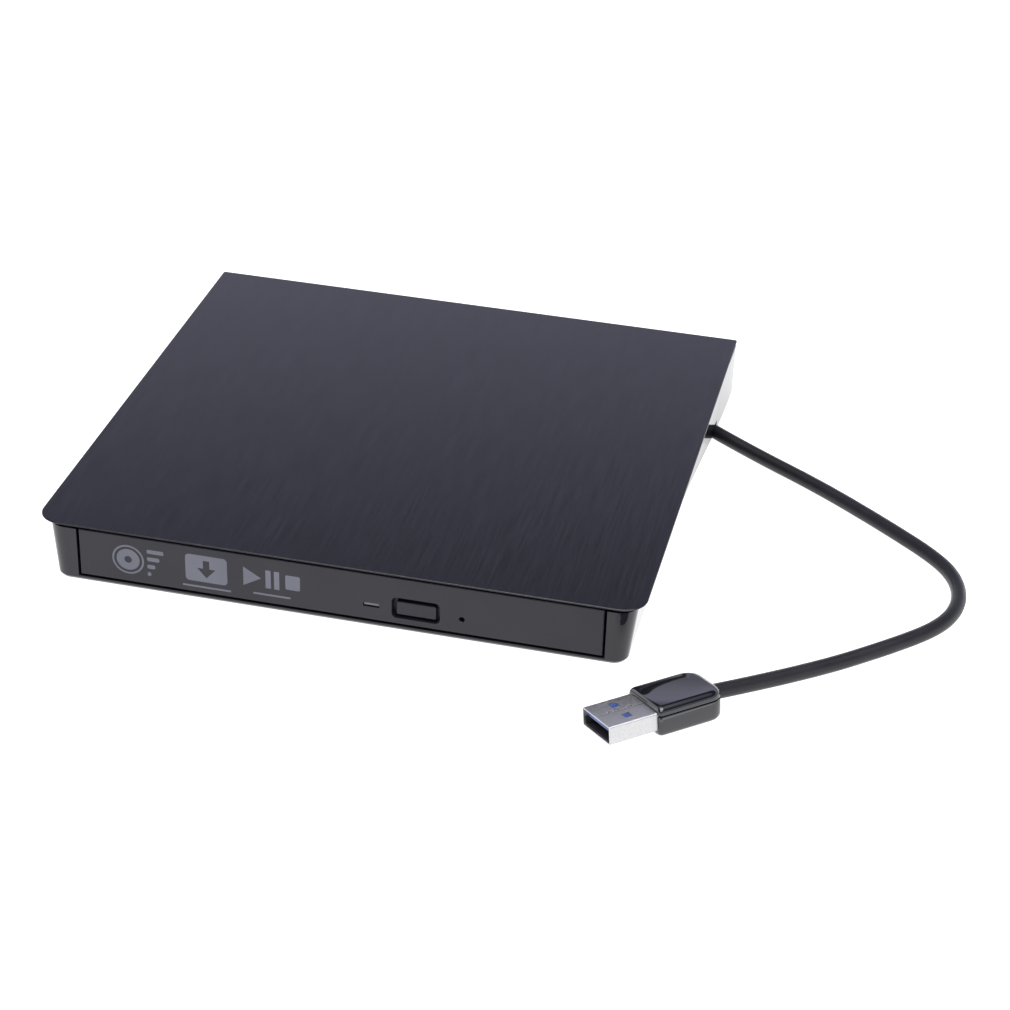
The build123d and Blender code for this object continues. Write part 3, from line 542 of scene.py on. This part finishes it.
def make_marks():
    """A disc with bars, a badge with an arrow, and play, pause and stop signs."""
    disc = [circle(radius, DISC_MIDDLE, 40) for radius in DISC_RADII]
    bars = [bar_points(2.2, 6.4 - i * 1.1, 2.5 - i * 2.1, 3.6 - i * 2.1, 0.4) for i in range(4)]
    flat_mark("mark_disc", disc + bars, x=-48.2, z=9.4)
    arrow = [(-0.8, 2.4), (0.8, 2.4), (0.8, 0.2), (2.3, 0.2), (0, -2.4), (-2.3, 0.2), (-0.8, 0.2)]
    badge = [bar_points(-5.2, 5.2, -3.6, 3.8, 1.0), arrow]
    flat_mark("mark_badge", badge + [bar_points(-6.0, 6.0, -5.3, -4.8)], x=-31.2, z=9.9)
    play = [[(-6.4, -2.6), (-6.4, 2.6), (-2.0, 0)]]
    pause = [bar_points(-0.9, 0.4, -2.5, 2.5), bar_points(1.2, 2.5, -2.5, 2.5)]
    stop = [bar_points(4.0, 7.6, -2.0, 2.0, 0.4)]
    flat_mark("mark_play", play + pause + stop + [bar_points(-4.0, 5.2, -4.6, -4.1)], x=-15.6, z=9.9)


make_marks()


# ---- fine pieces on the mechanism; their frame has the turntable at 0 and X along the sled's travel ----
def middle(node):
    low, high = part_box(node)
    return Vector(((low[0] + high[0]) / 2, (low[1] + high[1]) / 2, 0))


HUB = middle("turntable")
SLED_RUN = middle("pickup_lens") - HUB
LENS_R = SLED_RUN.length / MM
SLED_FRAME = Matrix.Translation(HUB) @ Matrix.Rotation(math.atan2(SLED_RUN.y, SLED_RUN.x), 4, "Z")
COVER_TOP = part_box("traverse_cover")[1][2] / MM
HUB_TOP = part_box("turntable")[1][2] / MM
HOLDER_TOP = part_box("lens_holder")[1][2] / MM
HUB_RADIUS = 7.45
CLAW_REACH, CLAW_ROOT, CLAW_HALF, CLAW_THICK, CLAW_DROP = 0.3, 2.2, 1.3, 0.46, 1.13
COVER_SCREWS = ((-11.5, 16.6), (-11.5, -16.6), (43.5, 16.6), (43.5, -16.6))
SLOT_LENGTH, SLOT_WIDTH = 1.7, 0.32
YOKE_SIDE, WIRE_SIDE = 6.4, 5.3
RING_START, RING_SWEEP, RING_STEPS = 36, 288, 120


def sled_piece(name, bm, body, material):
    mesh_object(name, bm, body, SLED_FRAME, material)


def make_claws():
    """Three sprung claws that stand a hair out of the hub and hold the disc."""
    low = HUB_TOP - CLAW_DROP
    for number in range(3):
        bm = bmesh.new()
        box_into(bm, (HUB_RADIUS - CLAW_ROOT, -CLAW_HALF, low),
                 (HUB_RADIUS + CLAW_REACH, CLAW_HALF, low + CLAW_THICK), 0.18, 3)
        bm.transform(Matrix.Rotation(math.radians(120 * number), 4, "Z"))
        sled_piece(f"hub_claw_{number + 1}", bm, "spindle", MATERIALS["steel"])


def make_hub_cap():
    """Stepped cap with a dished middle on the hub."""
    profile = (
        (5.9, -0.02), (5.9, 0.12), (5.75, 0.2), (3.7, 0.2), (3.5, 0.1),
        (3.4, 0.04), (1.5, 0.04), (1.4, 0.16), (1.1, 0.2),
    )
    bm = bmesh.new()
    turn_into(bm, [(radius, HUB_TOP + z) for radius, z in profile])
    sled_piece("hub_cap", bm, "spindle", MATERIALS["chip"])


def make_cover_screws():
    """Pan heads at the corners of the mechanism's cover, their cross slots drawn as dark inlays: painted
    shade in the slots.
    """
    profile = ((1.7, -0.1), (1.7, 0.12), (1.55, 0.27), (1.2, 0.36))
    low, high = COVER_TOP + 0.2, COVER_TOP + 0.375
    for number, (x, y) in enumerate(COVER_SCREWS, 1):
        bm = bmesh.new()
        turn_into(bm, [(radius, COVER_TOP + z) for radius, z in profile], centre=(x, y), steps=32)
        sled_piece(f"cover_screw_{number}", bm, "tray", MATERIALS["screw"])
        # The cross slot is a dark inlay on the head: painted shade for the recess.
        bm = bmesh.new()
        turn = math.radians(20 + 31 * number)
        for along in (turn, turn + math.pi / 2):
            rotate = Matrix.Translation((x, y, 0)) @ Matrix.Rotation(along, 4, "Z")
            box_into(bm, (-SLOT_LENGTH / 2, -SLOT_WIDTH / 2, low), (SLOT_LENGTH / 2, SLOT_WIDTH / 2, high),
                     turned=rotate)
        sled_piece(f"cover_screw_slot_shade_{number}", bm, "tray", JOINT_DARK_AND_SLOT_SHADE)


def make_pickup_details():
    """Yokes beside the lens, the wires that carry it with their block, and its ring."""
    low = HOLDER_TOP - 0.9
    bm = bmesh.new()
    for y in (-YOKE_SIDE, YOKE_SIDE):
        box_into(bm, (LENS_R - 3.2, y - 0.4, low), (LENS_R + 3.2, y + 0.4, low + 0.75), 0.1)
    sled_piece("lens_yokes", bm, "pickup", MATERIALS["steel"])
    bm = bmesh.new()
    box_into(bm, (LENS_R - 5.7, -5.7, low), (LENS_R - 4.6, 5.7, low + 0.8), 0.15)
    sled_piece("lens_wire_block", bm, "pickup", MATERIALS["chip"])
    bm = bmesh.new()
    for y in (-WIRE_SIDE, WIRE_SIDE):
        for z in (low + 0.2, low + 0.6):
            box_into(bm, (LENS_R - 5.6, y - 0.06, z - 0.06), (LENS_R + 4.0, y + 0.06, z + 0.06), 0.03, 1)
    sled_piece("lens_wires", bm, "pickup", GOLD)
    bm = bmesh.new()
    profile = ((3.3, -0.05), (3.3, 0.06), (3.15, 0.12), (2.65, 0.12), (2.45, 0.02))
    turn_into(bm, [(radius, HOLDER_TOP + z) for radius, z in profile], cap_last=False,
              centre=(LENS_R, 0), steps=48)
    sled_piece("lens_ring", bm, "pickup", MATERIALS["chip"])


def make_small_disc_ring():
    """The raised edge that centres an 80 mm disc; it stops at the mechanism's window."""
    section = ((40.6, -0.05), (40.75, 0.16), (40.95, 0.2), (41.6, 0.2), (41.8, 0.16), (41.95, -0.05))
    rings = []
    for i in range(RING_STEPS + 1):
        turn = math.radians(RING_START + RING_SWEEP * i / RING_STEPS)
        rings.append([(r * math.cos(turn), r * math.sin(turn), COVER_TOP + z) for r, z in section])
    bm = bmesh.new()
    loft_into(bm, rings)
    sled_piece("small_disc_ring", bm, "tray", MATERIALS["tray"])


make_claws()
make_hub_cap()
make_cover_screws()
make_pickup_details()
make_small_disc_ring()


# ---- floor and light ----
FLOOR_REACH = 4
FLOOR_GREY = (0.35, 0.35, 0.35)
FLOOR_GLOW = 1.05
STUDIO_STRENGTH = 3.0
# (sine of the height in the sky, brightness, factor on the blue)
STUDIO_LEVELS = (
    (0.08, 0.8, 1.0), (0.17, 0.13, 1.2), (0.34, 0.30, 1.25), (0.43, 0.36, 1.35),
    (0.53, 0.01, 1.5), (0.72, 0.01, 1.3), (0.88, 0.25, 1.1),
)


def make_floor():
    bm = bmesh.new()
    bmesh.ops.create_grid(bm, x_segments=1, y_segments=1, size=FLOOR_REACH)
    mesh = bpy.data.meshes.new("floor")
    bm.to_mesh(mesh)
    bm.free()
    floor = bpy.data.objects.new("floor", mesh)
    bpy.context.collection.objects.link(floor)
    material, shader = new_material("floor_pale", FLOOR_GREY, 0.9)
    shader.inputs["Specular IOR Level"].default_value = 0.0
    shader.inputs["Emission Color"].default_value = WHITE
    shader.inputs["Emission Strength"].default_value = FLOOR_GLOW
    paint(floor, material)


def add_area(name, place, aim, size, power):
    data = bpy.data.lights.new(name, "AREA")
    data.shape = "RECTANGLE"
    data.size, data.size_y = size
    data.energy = power
    light = bpy.data.objects.new(name, data)
    light.location = place
    light.rotation_euler = (Vector(aim) - Vector(place)).to_track_quat("-Z", "Y").to_euler()
    bpy.context.collection.objects.link(light)


def make_world():
    """A studio that is bright overhead and at the horizon, and dim between, where the lid looks."""
    world = bpy.data.worlds.new("studio")
    world.use_nodes = True
    tree = world.node_tree
    place = tree.nodes.new("ShaderNodeTexCoord")
    split = tree.nodes.new("ShaderNodeSeparateXYZ")
    ramp = tree.nodes.new("ShaderNodeValToRGB")
    stops = ramp.color_ramp.elements
    stops[0].color = WHITE
    stops[1].color = WHITE
    for height, level, blue in STUDIO_LEVELS:
        stop = stops.new(height)
        stop.color = (level, level, level * blue, 1)
    tree.links.new(place.outputs["Generated"], split.inputs["Vector"])
    tree.links.new(split.outputs["Z"], ramp.inputs["Fac"])
    tree.links.new(ramp.outputs["Color"], tree.nodes["Background"].inputs["Color"])
    tree.nodes["Background"].inputs["Strength"].default_value = STUDIO_STRENGTH
    bpy.context.scene.world = world
    bpy.context.scene.view_settings.view_transform = "Standard"


make_floor()
make_world()
add_area("overhead", place=(0.25, -0.45, 1.15), aim=(0, 0, 0), size=(1.2, 1.2), power=18)
